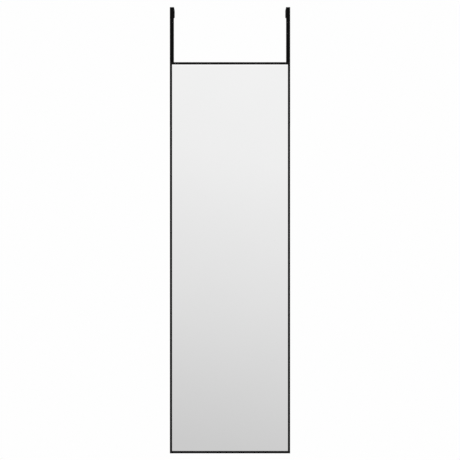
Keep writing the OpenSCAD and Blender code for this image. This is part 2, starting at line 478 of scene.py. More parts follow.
    def drill(self, foot: Vector, depth: float, radius: float) -> "Workpiece":
        """Drills a round hole back through the closed piece.

        Args:
            foot: The middle of the hole, on the piece's front face.
            depth: How thick the piece is there.
            radius: The hole's radius.

        Returns:
            The piece.
        """
        start = foot - BACK * CUT_PAST
        return self.cut(Workpiece.rod("hole", start, depth + 2 * CUT_PAST, radius, HOLE_SIDES).close())

    def socket(self, rear: float, flats: float, depth: float) -> "Workpiece":
        """Sinks a hexagonal socket into the rear of the closed piece, on its axis.

        Args:
            rear: Where the piece's rear face is.
            flats: The socket's width across flats.
            depth: Its depth.

        Returns:
            The piece.
        """
        floor = BACK * (rear - depth)
        radius = flats / 2 / math.cos(math.pi / HEX_SIDES)
        return self.cut(Workpiece.rod("socket", floor, depth + CUT_PAST, radius, HEX_SIDES).close())

    def ease(self, width: float, steps: int = 2) -> "Workpiece":
        """Breaks every sharp edge of the closed piece.

        Args:
            width: How wide the broken edge is.
            steps: How many faces it has across.

        Returns:
            The piece.
        """
        return self._work("BEVEL", width=width, segments=steps, limit_method="ANGLE", angle_limit=SHARP)

    def _shade(self) -> None:
        """Shades the piece smooth but for its sharp edges, its large faces flat."""
        self._take()
        bpy.ops.object.shade_smooth_by_angle(angle=SHARP_SHADING)
        self._work("WEIGHTED_NORMAL", mode="FACE_AREA", weight=LARGE_FACES_LEAD, keep_sharp=True)

    def put(self, matrix: Matrix) -> "Workpiece":
        """Sets the closed piece into place, and turns its faces out again if that mirrored it.

        Args:
            matrix: The matrix that carries it from its drawing to its place.

        Returns:
            The piece.
        """
        self._take()
        self.thing.data.transform(matrix)
        if matrix.determinant() < 0:
            bpy.ops.object.mode_set(mode="EDIT")
            self._turn_out()
        return self

    def copy(self, name: str) -> "Workpiece":
        """Makes another such piece with a mesh of its own.

        Args:
            name: The new piece's name.

        Returns:
            The new piece.
        """
        thing = self.thing.copy()
        thing.data = self.thing.data.copy()
        thing.name = name
        thing.data.name = name
        bpy.context.scene.collection.objects.link(thing)
        return Workpiece(thing)

    def discard(self) -> None:
        """Throws the piece away once its work is done."""
        bpy.data.objects.remove(self.thing)

    def dress(self, *materials: bpy.types.Material) -> "Workpiece":
        """Gives the piece its materials.

        Args:
            *materials: The materials, in the order of the faces' material numbers.

        Returns:
            The piece.
        """
        for material in materials:
            self.thing.data.materials.append(material)
        return self

    def _open_edges(self) -> int:
        """Counts the edges that don't join two faces.

        Returns:
            How many there are, which is none on a closed piece.
        """
        mesh = bmesh.new()
        mesh.from_mesh(self.thing.data)
        count = sum(not edge.is_manifold for edge in mesh.edges)
        mesh.free()
        return count

    def hand_over(self, body: Body, node: str, slot: Slot, flat: bool = False) -> None:
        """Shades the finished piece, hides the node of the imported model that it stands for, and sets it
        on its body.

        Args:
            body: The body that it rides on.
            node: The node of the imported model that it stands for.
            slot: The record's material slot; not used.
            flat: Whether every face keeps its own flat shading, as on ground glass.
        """
        if not flat:
            self._shade()
        if open_edges := self._open_edges():
            LOG.warning("%s: %d open edges", self.thing.name, open_edges)
        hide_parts(node)
        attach(self.thing, body.value)
        LOG.info("%s: %d faces, rides on %s", self.thing.name, len(self.thing.data.polygons), body.value)


# ---- wiring: node trees and the effects that several finishes share ----


@dataclass
class Wiring:
    """A node tree, and the calls that fill it."""

    tree: bpy.types.NodeTree

    def give(self, socket: Socket, value: object) -> None:
        """Gives a socket its value, or links it to the socket that feeds it.

        Args:
            socket: The socket.
            value: A value, a colour of three numbers or the socket that feeds it.
        """
        if isinstance(value, Socket):
            self.tree.links.new(value, socket)
        elif socket.type == "RGBA":
            socket.default_value = (*value, 1.0)
        else:
            socket.default_value = value

    def add(self, kind: str, inputs: dict | None = None, **settings: object) -> bpy.types.Node:
        """Adds a node.

        Args:
            kind: The node's type, without the words that every type starts with.
            inputs: What its sockets get, each a value or the socket that feeds it.
            **settings: The node's own settings.

        Returns:
            The node.
        """
        node = self.tree.nodes.new("ShaderNode" + kind)
        for name, value in settings.items():
            setattr(node, name, value)
        for name, value in (inputs or {}).items():
            self.give(node.inputs[name], value)
        return node

    def math(self, operation: str, first: object, second: object = 0.0) -> Socket:
        """The result of a Math node on two values or sockets."""
        return self.add("Math", {0: first, 1: second}, operation=operation).outputs[0]

    def vector(self, operation: str, inputs: dict) -> Socket:
        """The result of a Vector Math node on its numbered inputs."""
        return self.add("VectorMath", inputs, operation=operation).outputs["Vector"]

    def span(self, value: object, source: tuple = (0.0, 1.0), target: tuple = (0.0, 1.0)) -> Socket:
        """A value carried from one range to another, and held inside it.

        Args:
            value: The socket that is read.
            source: The range that it is read over.
            target: The range that it comes out in.

        Returns:
            The socket with the result.
        """
        ends = {
            "Value": value,
            "From Min": source[0],
            "From Max": source[1],
            "To Min": target[0],
            "To Max": target[1],
        }
        return self.add("MapRange", ends).outputs["Result"]

    def mix(self, mask: Socket, first: object, second: object) -> Socket:
        """One colour that turns to another.

        Args:
            mask: The socket that says how far it has turned, from 0 to 1.
            first: The colour, or its socket, where the mask is 0.
            second: The colour, or its socket, where the mask is 1.

        Returns:
            The socket with the mixed colour.
        """
        node = self.add("Mix", data_type="RGBA")
        colours = [socket for socket in node.inputs if socket.type == "RGBA"]
        for socket, value in zip((node.inputs[0], *colours), (mask, first, second)):
            self.give(socket, value)
        return next(socket for socket in node.outputs if socket.type == "RGBA")


class Effect(Enum):
    """What more than one finish shows, each a node group that is built once."""

    GRAIN = "long_grain"
    SPECKLE = "fine_speckle"
    WEAR = "worn_edges"
    DUST = "resting_dust"
    PORES = "open_pores"

    def tree(self) -> bpy.types.NodeTree:
        """The effect's node group, built on first use."""
        return bpy.data.node_groups.get(self.value) or getattr(self, "_" + self.value)()

    def _group(self, inputs: dict[str, str], *outputs: str) -> tuple[Wiring, dict[str, Socket]]:
        """Starts the group.

        Args:
            inputs: The names of its inputs and their kinds.
            *outputs: The names of its outputs, which are all values.

        Returns:
            Its wiring, and the sockets of its inputs by name.
        """
        group = bpy.data.node_groups.new(self.value, "ShaderNodeTree")
        for name, kind in inputs.items():
            group.interface.new_socket(name=name, in_out="INPUT", socket_type=f"NodeSocket{kind}")
        for name in outputs:
            group.interface.new_socket(name=name, in_out="OUTPUT", socket_type="NodeSocketFloat")
        entry = group.nodes.new("NodeGroupInput")
        return Wiring(group), dict(entry.outputs.items())

    @staticmethod
    def _ready(wires: Wiring, **outputs: Socket) -> bpy.types.NodeTree:
        """Ends the group.

        Args:
            wires: The group's wiring.
            **outputs: What comes out of it, by the outputs' names.

        Returns:
            The group.
        """
        leave = wires.tree.nodes.new("NodeGroupOutput")
        for name, socket in outputs.items():
            wires.give(leave.inputs[name], socket)
        return wires.tree

    @staticmethod
    def _noise(wires: Wiring, place: Socket, size: Socket, detail: float) -> Socket:
        """Noise whose spots are about as wide as size says.

        Args:
            wires: The group's wiring.
            place: The coordinates.
            size: The width of a spot.
            detail: How finely the spots are broken up.

        Returns:
            The socket with the noise.
        """
        rate = wires.math("DIVIDE", 1.0, size)
        return wires.add("TexNoise", {"Vector": place, "Scale": rate, "Detail": detail}).outputs[0]

    def _long_grain(self) -> bpy.types.NodeTree:
        """Fine lines along a bar: noise that is stretched by one factor for each axis.

        Returns:
            The group, which gives the lines' height and their tone.
        """
        tones = (0.32, 0.68)
        wires, given = self._group({"Place": "Vector", "Stretch": "Vector"}, "Height", "Tone")
        drawn = wires.vector("MULTIPLY", {0: given["Place"], 1: given["Stretch"]})
        fineness = {"Vector": drawn, "Scale": 1.0, "Detail": 3.0, "Roughness": 0.6}
        lines = wires.add("TexNoise", fineness).outputs[0]
        return self._ready(wires, Height=lines, Tone=wires.span(lines, tones))

    def _fine_speckle(self) -> bpy.types.NodeTree:
        """Even fine spots, as a coating or a moulded face has.

        Returns:
            The group, which gives the spots' height and their tone.
        """
        tones, detail = (0.36, 0.64), 2.0
        wires, given = self._group({"Place": "Vector", "Size": "Float"}, "Height", "Tone")
        spots = self._noise(wires, given["Place"], given["Size"], detail)
        return self._ready(wires, Height=spots, Tone=wires.span(spots, tones))

    def _worn_edges(self) -> bpy.types.NodeTree:
        """Edges that were rubbed, in patches: where a rounded normal leaves the face's own.

        Returns:
            The group, which gives a mask of the worn places.
        """
        # how well the two normals match, from the open face to the edge itself
        match, patches, detail = (0.995, 0.86), (0.42, 0.66), 3.0
        wires, given = self._group({"Place": "Vector", "Reach": "Float", "Patch": "Float"}, "Mask")
        rounded = wires.add("Bevel", {"Radius": given["Reach"]}, samples=6).outputs[0]
        own = wires.add("NewGeometry").outputs["Normal"]
        alike = wires.add("VectorMath", {0: rounded, 1: own}, operation="DOT_PRODUCT").outputs["Value"]
        noise = self._noise(wires, given["Place"], given["Patch"], detail)
        return self._ready(
            wires, Mask=wires.math("MULTIPLY", wires.span(alike, match), wires.span(noise, patches))
        )

    def _resting_dust(self) -> bpy.types.NodeTree:
        """Dust on faces that look up, uneven as it settles.

        Returns:
            The group, which gives a mask of the dust.
        """
        # how far up a face looks, from bare to fully dusty
        slopes, patches, detail = (0.35, 0.95), (0.3, 0.7), 4.0
        wires, given = self._group({"Place": "Vector", "Patch": "Float"}, "Mask")
        normal = wires.add("NewGeometry").outputs["Normal"]
        upward = wires.add("SeparateXYZ", {"Vector": normal}).outputs["Z"]
        noise = self._noise(wires, given["Place"], given["Patch"], detail)
        return self._ready(
            wires, Mask=wires.math("MULTIPLY", wires.span(upward, slopes), wires.span(noise, patches))
        )

    def _open_pores(self) -> bpy.types.NodeTree:
        """Cells of a foam: round pits, the deepest in their middles.

        Returns:
            The group, which gives the pits' height and a mask for the painted shade in their deep middles.
        """
        # the heights from a cell's middle out to its walls, then the heights over which the painted shade
        # in the middle fades out
        walls, pit_shade_range = (0.05, 0.6), (0.45, 0.1)
        wires, given = self._group({"Place": "Vector", "Size": "Float"}, "Height", "Mask")
        rate = wires.math("DIVIDE", 1.0, given["Size"])
        cells = wires.add("TexVoronoi", {"Vector": given["Place"], "Scale": rate})
        height = wires.span(cells.outputs["Distance"], walls)
        return self._ready(wires, Height=height, Mask=wires.span(height, pit_shade_range))


# ---- finishes ----


@dataclass(frozen=True)
class Marks:
    """What a finish shows: its tone, the marks that its roughness follows, and its relief."""

    tone: Socket
    rough: Socket
    height: Socket


@dataclass(frozen=True)
class Finish:
    """A finish: what every material has, and how its marks are wired to its surface."""

    name: str
    colour: Colour
    roughness: float
    gloss: float = 0.5
    metal: float = 0.0
    sheen: float = 0.0
    # how far its gloss is drawn out across fine lines
    drawn: float = 0.0
    # what the roughness gains where the marks are lowest, and where they are highest
    rougher: tuple[float, float] = (-0.1, 0.1)
    relief: float = 0.0

    @staticmethod
    def _effect(wires: Wiring, effect: Effect, **inputs: object) -> dict[str, Socket]:
        """Places a shared effect in the material with this finish's own values.

        Args:
            wires: The material's wiring.
            effect: The effect.
            **inputs: What its inputs get, each a value or the socket that feeds it.

        Returns:
            The effect's output sockets by name.
        """
        return dict(wires.add("Group", inputs, node_tree=effect.tree()).outputs.items())

    def _marks(self, wires: Wiring, place: Socket) -> Marks:
        """Wires up what the finish shows.

        Args:
            wires: The material's wiring.
            place: The piece's own coordinates.

        Returns:
            The marks.
        """
        raise NotImplementedError(self.name)

    def make(self) -> bpy.types.Material:
        """Makes the finish's material.

        Returns:
            The material.
        """
        material = bpy.data.materials.new(self.name)
        material.use_nodes = True
        material.diffuse_color = (*self.colour, 1.0)
        wires = Wiring(material.node_tree)
        surface = material.node_tree.nodes["Principled BSDF"].inputs
        plain = {
            "Base Color": self.colour,
            "Roughness": self.roughness,
            "Specular IOR Level": self.gloss,
            "Metallic": self.metal,
            "Sheen Weight": self.sheen,
            "Anisotropic": self.drawn,
        }
        for name, value in plain.items():
            wires.give(surface[name], value)
        marks = self._marks(wires, wires.add("TexCoord").outputs["Object"])
        ends = tuple(self.roughness + more for more in self.rougher)
        wires.give(surface["Base Color"], marks.tone)
        wires.give(surface["Roughness"], wires.span(marks.rough, target=ends))
        if self.relief:
            bump = wires.add("Bump", {"Height": marks.height, "Distance": self.relief})
            wires.give(surface["Normal"], bump.outputs["Normal"])
        return material


@dataclass(frozen=True)
class RubbedFinish(Finish):
    """A finish that is rubbed along its edges."""

    # how far in from an edge the wear reaches, how long its patches are and how strong it is
    edge_reach: float = 0.25 * MM
    edge_patch: float = 9.0 * MM
    wear: float = 0.35

    def _worn(self, wires: Wiring, place: Socket) -> Socket:
        """Where the edges are rubbed.

        Args:
            wires: The material's wiring.
            place: The piece's own coordinates.

        Returns:
            The socket with the wear.
        """
        worn = self._effect(wires, Effect.WEAR, Place=place, Reach=self.edge_reach, Patch=self.edge_patch)
        return wires.math("MULTIPLY", worn["Mask"], self.wear)


@dataclass(frozen=True)
class UsedFinish(RubbedFinish):
    """A finish that is rubbed along its edges and holds dust on what looks up."""

    # how long the patches of dust are, and how strong it is
    dust_patch: float = 14.0 * MM
    dusting: float = 0.25

    def _dusty(self, wires: Wiring, place: Socket) -> Socket:
        """Where dust lies.

        Args:
            wires: The material's wiring.
            place: The piece's own coordinates.

        Returns:
            The socket with the dust.
        """
        dusty = self._effect(wires, Effect.DUST, Place=place, Patch=self.dust_patch)
        return wires.math("MULTIPLY", dusty["Mask"], self.dusting)


@dataclass(frozen=True)
class Anodised(UsedFinish):
    """Black anodised aluminium with the fine lines of the die."""

    rougher: tuple[float, float] = (-0.06, 0.07)
    relief: float = 0.004 * MM
    run: Run = Run.UPRIGHT
    line_width: float = 0.12 * MM
    line_length: float = 70 * MM
    bare: Colour = (0.05, 0.05, 0.052)
    dust: Colour = (0.06, 0.06, 0.058)

    def _marks(self, wires: Wiring, place: Socket) -> Marks:
        """Wires up the die lines, in relief and roughness, with faint wear and dust.

        Args:
            wires: The material's wiring.
            place: The piece's own coordinates.

        Returns:
            The marks.
        """
        stretch = self.run.stretch(self.line_width, self.line_length)
        grain = self._effect(wires, Effect.GRAIN, Place=place, Stretch=stretch)
        tone = wires.mix(self._worn(wires, place), self.colour, self.bare)
        tone = wires.mix(self._dusty(wires, place), tone, self.dust)
        return Marks(tone, grain["Tone"], grain["Height"])


@dataclass(frozen=True)
class FineSkin(UsedFinish):
    """A skin with fine spots in relief, one tone but for where it was rubbed or holds dust."""

    spot: float = 0.4 * MM
    rubbed: Colour = (0.03, 0.03, 0.031)

    def _marks(self, wires: Wiring, place: Socket) -> Marks:
        """Wires up the spots, the rubbed edges and the dust.

        Args:
            wires: The material's wiring.
            place: The piece's own coordinates.

        Returns:
            The marks.
        """
        spots = self._effect(wires, Effect.SPECKLE, Place=place, Size=self.spot)
        used = wires.math("MAXIMUM", self._worn(wires, place), self._dusty(wires, place))
        return Marks(wires.mix(used, self.colour, self.rubbed), spots["Tone"], spots["Height"])


@dataclass(frozen=True)
class PowderCoat(FineSkin):
    """Black powder coat with a fine texture."""

    rougher: tuple[float, float] = (-0.08, 0.1)
    relief: float = 0.03 * MM
    edge_reach: float = 0.3 * MM
    edge_patch: float = 7.0 * MM
    wear: float = 0.3
    dust_patch: float = 10.0 * MM
    dusting: float = 0.2


@dataclass(frozen=True)
class Rubber(FineSkin):
    """Soft black rubber with a matt moulded skin, which blooms pale where it was rubbed."""

    relief: float = 0.015 * MM
    edge_reach: float = 0.5 * MM
    edge_patch: float = 2.5 * MM
    wear: float = 0.6
    dust_patch: float = 3.0 * MM
    dusting: float = 0.6
    spot: float = 0.25 * MM
    rubbed: Colour = (0.045, 0.045, 0.046)


@dataclass(frozen=True)
class SpeckledFinish(Finish):
    """A finish whose fine spots turn its tone, its roughness and its relief together."""

    spot: float = 1.0 * MM
    second: Colour = (0.5, 0.5, 0.5)

    def _marks(self, wires: Wiring, place: Socket) -> Marks:
        """Wires up the spots.

        Args:
            wires: The material's wiring.
            place: The piece's own coordinates.

        Returns:
            The marks.
        """
        spots = self._effect(wires, Effect.SPECKLE, Place=place, Size=self.spot)
        tone = wires.mix(spots["Tone"], self.colour, self.second)
        return Marks(tone, spots["Tone"], spots["Height"])


@dataclass(frozen=True)
class SilveredFace(SpeckledFinish):
    """The silver behind clear glass: a mirror with a trace of haze from wiping."""

    metal: float = 1.0
    rougher: tuple[float, float] = (0.0, 0.008)
    spot: float = 180 * MM
    second: Colour = (0.93436, 0.93436, 0.93436)


@dataclass(frozen=True)
class GroundGlass(SpeckledFinish):
    """The pane's ground edge: green grey and matt, with fine grinding marks."""

    relief: float = 0.01 * MM
    spot: float = 0.15 * MM
    second: Colour = (0.5, 0.6, 0.56)


@dataclass(frozen=True)
class SprayedPaint(SpeckledFinish):
    """The paint that seals the silver from behind, with the slight orange peel of a sprayed coat."""

    rougher: tuple[float, float] = (-0.05, 0.1)
    relief: float = 0.02 * MM
    spot: float = 1.6 * MM
    second: Colour = (0.2, 0.21, 0.215)


@dataclass(frozen=True)
class Fibreboard(Finish):
    """Pressed fibreboard: short fibres that lie every way, and darker specks."""

    rougher: tuple[float, float] = (0.12, -0.08)
    relief: float = 0.08 * MM
    dark: Colour = (0.13, 0.078, 0.042)
    light: Colour = (0.34, 0.225, 0.13)
    # a fibre's width, and how many times longer it is
    fibre: float = 0.26 * MM
    slimness: float = 9.0
    # how the fibres curl: waves to the metre, and how far they reach
    curls: float = 120.0
    curl: float = 6.0 * MM
    # the directions in which the fibres lie, as turns about the board's normal
    turns: tuple[float, ...] = (0.35, 1.4, 2.45)
    # the heights between which a fibre turns from dark to light
    strand: tuple[float, float] = (0.48, 0.72)
    # the specks of bark: their size, the heights between which one shows, and how strongly
    fleck: float = 1.3 * MM
    fleck_band: tuple[float, float] = (0.61, 0.68)
    flecking: float = 0.8
    # the clouds of tone: their size, and the least and the most that they show
    cloud: float = 38 * MM
    clouding: tuple[float, float] = (0.35, 0.65)

    def _fibres(self, wires: Wiring, place: Socket, turn: float) -> Socket:
        """One layer of fibres that lie near one direction.

        Args:
            wires: The material's wiring.
            place: The piece's own coordinates.
            turn: The direction, as a turn about the board's normal.

        Returns:
            The socket with the layer's height.
        """
        turning = {"Vector": place, "Rotation": (0.0, turn, 0.0)}
        turned = wires.add("Mapping", turning, vector_type="TEXTURE").outputs[0]
        waves = {"Vector": turned, "Scale": self.curls, "Detail": 1.0}
        wavy = wires.add("TexNoise", waves).outputs["Color"]
        bent = wires.vector("SCALE", {0: wavy, 3: self.curl})
        carried = wires.vector("ADD", {0: turned, 1: bent})
        across = 1 / self.fibre
        stretch = (across / self.slimness, across, across)
        return self._effect(wires, Effect.GRAIN, Place=carried, Stretch=stretch)["Height"]

    def _marks(self, wires: Wiring, place: Socket) -> Marks:
        """Wires up the layers of fibres, the clouds of tone and the specks of bark.

        Args:
            wires: The material's wiring.
            place: The piece's own coordinates.

        Returns:
            The marks.
        """
        height, *others = (self._fibres(wires, place, turn) for turn in self.turns)
        for layer in others:
            height = wires.math("MAXIMUM", height, layer)
        clouds = self._effect(wires, Effect.SPECKLE, Place=place, Size=self.cloud)
        bark = self._effect(wires, Effect.SPECKLE, Place=place, Size=self.fleck)
        strands = wires.span(height, self.strand)
        specks = wires.math("MULTIPLY", wires.span(bark["Height"], self.fleck_band), self.flecking)
        tone = wires.mix(strands, self.dark, self.light)
        tone = wires.mix(wires.span(clouds["Tone"], target=self.clouding), tone, self.colour)
        return Marks(wires.mix(specks, tone, self.dark), strands, height)


@dataclass(frozen=True)
class Foam(Finish):
    """Closed cell foam with the cut cells showing on its faces in relief, and painted shade in the cells'
    pits.
    """

    sheen: float = 0.15
    rougher: tuple[float, float] = (0.0, -0.15)
    relief: float = 0.1 * MM
    cell: float = 0.45 * MM
    # painted shade: the colour that the deep middles of the cut cells are darkened to
    pit_shade: Colour = (0.004, 0.004, 0.004)

    def _marks(self, wires: Wiring, place: Socket) -> Marks:
        """Wires up the pits in relief, with painted shade darkening their deep middles.

        Args:
            wires: The material's wiring.
            place: The piece's own coordinates.

        Returns:
            The marks.
        """
        cells = self._effect(wires, Effect.PORES, Place=place, Size=self.cell)
        # the tone is painted shade in the pits over the foam's own colour
        return Marks(wires.mix(cells["Mask"], self.colour, self.pit_shade), cells["Height"], cells["Height"])


@dataclass(frozen=True)
class PlatedMetal(RubbedFinish):
    """Bare or plated metal, with the marks of its making."""

    metal: float = 1.0
    rougher: tuple[float, float] = (-0.08, 0.1)
    relief: float = 0.006 * MM
    edge_reach: float = 0.2 * MM
    edge_patch: float = 3.0 * MM
    wear: float = 0.5
    stain: Colour = (0.34, 0.33, 0.29)
    bright: Colour = (0.62, 0.62, 0.63)
    spot: float = 0.6 * MM
    # how many spots wide a blotch of the plating is, and how strongly it shows
    blotch: float = 9.0
    blotching: float = 0.5

    def _marks(self, wires: Wiring, place: Socket) -> Marks:
        """Wires up the blotches of the plating, spots in relief and bright worn edges.

        Args:
            wires: The material's wiring.
            place: The piece's own coordinates.

        Returns:
            The marks.
        """
        spots = self._effect(wires, Effect.SPECKLE, Place=place, Size=self.spot)
        blotches = self._effect(wires, Effect.SPECKLE, Place=place, Size=self.spot * self.blotch)
        stained = wires.math("MULTIPLY", blotches["Tone"], self.blotching)
        tone = wires.mix(stained, self.colour, self.stain)
        tone = wires.mix(self._worn(wires, place), tone, self.bright)
        return Marks(tone, spots["Tone"], spots["Height"])


@dataclass(frozen=True)
class RolledSteel(Finish):
    """Bright tempered spring steel with its rolling lines."""

    metal: float = 1.0
    drawn: float = 0.4
    rougher: tuple[float, float] = (-0.07, 0.1)
    relief: float = 0.004 * MM
    run: Run = Run.UPRIGHT
    line_width: float = 0.08 * MM
    line_length: float = 30 * MM
    # the temper colour, how long its patches are and how strongly they show
    blue: Colour = (0.3, 0.33, 0.4)
    patch: float = 8.0 * MM
    tempering: float = 0.45

    def _marks(self, wires: Wiring, place: Socket) -> Marks:
        """Wires up the lines along the strip, and a trace of temper colour in patches.

        Args:
            wires: The material's wiring.
            place: The piece's own coordinates.

        Returns:
            The marks.
        """
        stretch = self.run.stretch(self.line_width, self.line_length)
        lines = self._effect(wires, Effect.GRAIN, Place=place, Stretch=stretch)
        patches = self._effect(wires, Effect.SPECKLE, Place=place, Size=self.patch)
        temper = wires.math("MULTIPLY", patches["Tone"], self.tempering)
        return Marks(wires.mix(temper, self.colour, self.blue), lines["Tone"], lines["Height"])


@dataclass
class Finishes:
    """Every finish of the mirror, made once."""

    upright_black: bpy.types.Material = field(init=False)
    level_black: bpy.types.Material = field(init=False)
    powder: bpy.types.Material = field(init=False)
    silver: bpy.types.Material = field(init=False)
    ground_edge: bpy.types.Material = field(init=False)
    sealing_paint: bpy.types.Material = field(init=False)
    board: bpy.types.Material = field(init=False)
    tape: bpy.types.Material = field(init=False)
    liner: bpy.types.Material = field(init=False)
    zinc: bpy.types.Material = field(init=False)
    black_oxide: bpy.types.Material = field(init=False)
    upright_spring: bpy.types.Material = field(init=False)
    level_spring: bpy.types.Material = field(init=False)
    rubber: bpy.types.Material = field(init=False)

    def __post_init__(self) -> None:
        """Makes the materials."""
        anodised = {"colour": (0.0018, 0.0018, 0.0019), "roughness": 0.38, "gloss": 0.09}
        self.upright_black = Anodised("black_anodised_upright", run=Run.UPRIGHT, **anodised).make()
        self.level_black = Anodised("black_anodised_level", run=Run.LEVEL, **anodised).make()
        self.powder = PowderCoat(
            "black_powder_coat", (0.0012, 0.0012, 0.0013), roughness=0.5, gloss=0.045
        ).make()
        self.silver = SilveredFace("silvered_glass", (0.94, 0.94, 0.94), roughness=0.004).make()
        self.ground_edge = GroundGlass("ground_glass_edge", (0.4, 0.52, 0.47), roughness=0.45).make()
        self.sealing_paint = SprayedPaint("sealing_paint", (0.15, 0.16, 0.165), roughness=0.5).make()
        self.board = Fibreboard(
            "brown_fibreboard", (0.24, 0.15, 0.085), roughness=0.55, gloss=0.35
        ).make()
        self.tape = Foam(
            "foam_tape_black", (0.014, 0.014, 0.014), roughness=0.95, gloss=0.2, cell=0.3 * MM
        ).make()
        self.liner = Foam("liner_foam_black", (0.022, 0.022, 0.023), roughness=0.92, gloss=0.25).make()
        self.zinc = PlatedMetal("dull_zinc_plate", (0.4, 0.41, 0.43), roughness=0.42).make()
        self.black_oxide = PlatedMetal(
            "black_oxide_steel",
            (0.018, 0.018, 0.02),
            roughness=0.36,
            metal=0.85,
            wear=0.35,
            stain=(0.03, 0.028, 0.026),
            bright=(0.12, 0.12, 0.12),
            spot=0.3 * MM,
        ).make()
        spring = {"colour": (0.38, 0.39, 0.41), "roughness": 0.28}
        self.upright_spring = RolledSteel("spring_steel_upright", run=Run.UPRIGHT, **spring).make()
        self.level_spring = RolledSteel("spring_steel_level", run=Run.LEVEL, **spring).make()
        self.rubber = Rubber("soft_black_rubber", (0.016, 0.016, 0.017), roughness=0.72, gloss=0.3).make()


# ---- the mirror ----


@dataclass(frozen=True)
class BarSection:
    """Section of the frame's bar: widths inwards from its outer face, depths back from its front."""

    lip_w: float = 5.6 * MM
    lip_t: float = 1.4 * MM
    wall_t: float = 1.1 * MM
    outer_r: float = 0.4 * MM
    outer_steps: int = 5
    channel_w: float = 6.6 * MM
    slot_w: float = 3.6 * MM
    inner_wall_t: float = 1.0 * MM
    shelf_at: float = 9.4 * MM
    channel_at: float = 10.4 * MM
    rear_lip_at: float = 13.0 * MM
    depth: float = 14.0 * MM
    ease: float = 0.14 * MM

    @property
    def rear_w(self) -> float:
        """Width of the bar at its rear."""
        return self.wall_t + self.channel_w + self.inner_wall_t

    @property
    def rear_lip_w(self) -> float:
        """How far each rear lip reaches over the channel."""
        return (self.channel_w - self.slot_w) / 2


@dataclass(frozen=True)
class Outline:
    """The frame's outer faces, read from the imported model."""

    half_w: float
    front: float
    top: float
    bottom: float

    @classmethod
    def read(cls) -> "Outline":
        """Reads the outline from the two stiles.

        Returns:
            The outline.
        """
        low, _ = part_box("left_stile")
        _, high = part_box("right_stile")
        return cls(half_w=high.x, front=low.y, top=high.z, bottom=low.z)

    def on_side(self, side: Side, height: float) -> Vector:
        """The place on the frame's outer face at that height, at the front."""
        return Vector((side.value * self.half_w, self.front, height))

    def end(self, level: Level) -> float:
        """The height of the frame's upper or lower end."""
        return self.top if level is Level.TOP else self.bottom

    def corner(self, side: Side, level: Level) -> Vector:
        """A corner of the frame, at its front face."""
        return self.on_side(side, self.end(level))


